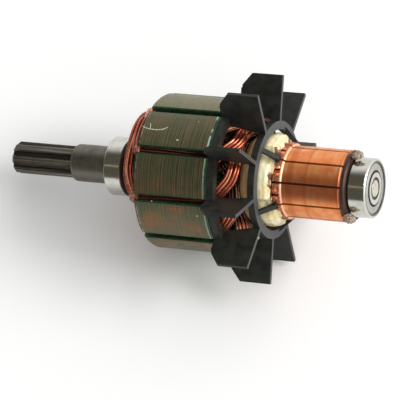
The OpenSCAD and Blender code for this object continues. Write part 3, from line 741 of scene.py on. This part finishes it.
def resin_collar():
    around, steps = 480, 34
    skin, butt = 0.06, 0.01  # how far the resin and its very end stand over the risers
    points, edge = [], []
    for i in range(around):
        phi = 360.0 * i / around
        end = resin_end(phi)
        ring = []
        for k in range(steps + 1):
            s = resin_s + (end - resin_s) * (1 - (1 - k / steps) ** 1.3)
            r = max(resin_r(s, phi), bore_r + 0.1 if s < riser_s else riser_r + skin)
            if k == steps:
                r = bore_r + 0.05 if s < riser_s else riser_r + butt
            ring.append((s, r))
        ring += [(min(end, riser_s) - 0.02, bore_r), *RESIN_BORE]
        points += [at(s, r, phi) for s, r in ring]
        edge += [max(0.0, end - s) for s, r in ring]
    n = len(ring)
    faces = []
    for i in range(around):
        here, on = i * n, (i + 1) % around * n
        for k in range(n):
            k1 = (k + 1) % n
            faces.append((here + k, here + k1, on + k1, on + k))
    o = piece("resin_collar", points, faces, cream_resin, "cream_resin", edge=edge)
    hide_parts("lead_collar")


resin_collar()

# ---- Marks of use ----

# Dabs of balancing putty, then wire and varnish bulging from two slots at the front. Each has its
# station, radius, angle and half sizes.
PUTTY = ((101.6, 9.75, 151.5, (1.2, 1.25, 1.6)), (101.2, 9.85, 271.5, (1.15, 1.5, 1.5)))
BULGES = ((coat_s - 0.5, 19.5, 234.6, (1.25, 1.9, 1.1)), (coat_s - 0.1, 19.7, 198.6, (1.0, 1.5, 0.8)))
for k, (s, r, phi, sizes) in enumerate(PUTTY, 1):
    points, faces = lump(at(s, r, phi), phi, sizes, seed=k, rough=0.32, detail=5)
    piece("putty_%d" % k, points, faces, putty, "cream_resin")
for k, (s, r, phi, sizes) in enumerate(BULGES, 1):
    points, faces = lump(at(s, r, phi), phi, sizes, seed=20 + k, rough=0.35, detail=4)
    piece("slot_bulge_%d" % k, points, faces, soaked_wire, "copper_wire")

# Runs of varnish on the core's rim, through these stations and angles, then specks of it with their
# sizes
LONG_RUN = (
    (45.11, 180.07), (45.8, 180.9), (46.57, 181.47), (48.1, 182.07), (49.57, 182.07), (50.96, 181.37),
    (51.8, 180.3), (52.43, 178.97))
SHORT_RUN = ((46.93, 176.77), (47.2, 178.0), (47.35, 179.17), (47.46, 181.67))
SPECKS = ((56.15, 189.07, 0.3), (63.1, 244.77, 0.22), (50.2, 236.0, 0.16), (60.4, 172.0, 0.15))
# A run's section: share of its half width, and height over the rim
RUN_SECTION = ((-1, -0.03), (-0.6, 0.05), (0, 0.09), (0.6, 0.05), (1, -0.03))


def ribbon(track, half):
    """Points and faces of a thin raised run, narrow at its ends"""
    points, faces = [], []
    n, last = len(RUN_SECTION), len(track) - 1
    for k, (s, phi) in enumerate(track):
        s0, p0 = track[max(k - 1, 0)]
        s1, p1 = track[min(k + 1, last)]
        ds, dp = s1 - s0, math.radians(p1 - p0) * core_r
        long = math.hypot(ds, dp)
        w = half * (0.35 if k in (0, last) else 1.0)
        for u, lift in RUN_SECTION:
            across = math.degrees(ds / long * u * w / core_r)
            points.append(at(s - dp / long * u * w, core_r + lift, phi + across))
    for k in range(last):
        for q in range(n - 1):
            faces.append((k * n + q, k * n + q + 1, k * n + q + n + 1, k * n + q + n))
    return points, faces


marks = [ribbon(LONG_RUN, 0.17), ribbon(SHORT_RUN, 0.13)]
for s, phi, size in SPECKS:
    marks.append(lump(at(s, core_r, phi), phi, (0.12, size, size), seed=5, rough=0.3, detail=2))
points, faces = gather(marks)
piece("varnish_marks", points, faces, varnish, "green_coat")

# A crumb of flash on one blade
flash_r, flash_phi = 18.5, 270.6
points, faces = lump(
    at(fan_end_s, flash_r, flash_phi), flash_phi, (0.5, 0.42, 0.3), seed=9, rough=0.3, detail=3)
piece("fan_flash", points, faces, putty, "fan_plastic")

# ---- Floor and light ----

floor_half = 3
floor_mesh = bpy.data.meshes.new("floor")
floor_mesh.from_pydata(
    [(x * floor_half, y * floor_half, 0) for x, y in ((-1, -1), (1, -1), (1, 1), (-1, 1))], [],
    [(0, 1, 2, 3)])
floor = bpy.data.objects.new("floor", floor_mesh)
bpy.context.collection.objects.link(floor)
# White where it is seen, and a little darker in the light that it sends back
f = Shader("floor")
floor_mesh.materials.append(f.material)
seen_directly = f.node("ShaderNodeLightPath").outputs["Is Camera Ray"]
white = f.mix(seen_directly, (0.86, 0.865, 0.86), (1.06, 1.06, 1.05))
f.surface(white, 0.0, 0.9, Specular_IOR_Level=0.0)

# The sky is bright behind the rotor and on the side that its rear end points to. The rest is dim, with
# a warm glint across it.
sky = bpy.data.worlds.new("world")
bpy.context.scene.world = sky
sky.use_nodes = True
w = Shader("world", sky.node_tree)
way = w.node("ShaderNodeTexCoord").outputs["Generated"]
back = w.dot(way, Vector((-0.3, 0.93, 0.2)).normalized())
lit = w.most(w.span(back, 0.5, 0.97), w.span(w.dot(way, axis), -0.22, 0.1))
glint = w.times(w.band(back, -0.19, -0.15, 0.02), w.span(lit, 0.0, 0.2, 1.0, 0.0))
colour = w.mix(lit, (0.09, 0.087, 0.066), (0.9, 0.91, 0.92))
colour = w.mix(glint, colour, (0.5, 0.42, 0.26))
w.put(sky.node_tree.nodes["Background"].inputs[0], colour)
bpy.context.scene.view_settings.view_transform = "Standard"

# One soft lamp, from the viewer's right and a little above
key_way = to_scene @ Vector((0.8, 0.25, 0.6))
key_aim = Vector((0, 0, 0.02))
key_distance = 1.3
light = bpy.data.lights.new("key", "AREA")
light.size = 0.6
light.energy = 10
lamp = bpy.data.objects.new("key", light)
bpy.context.collection.objects.link(lamp)
lamp.location = key_way.normalized() * key_distance + key_aim
lamp.rotation_euler = key_way.to_track_quat("Z", "Y").to_euler()
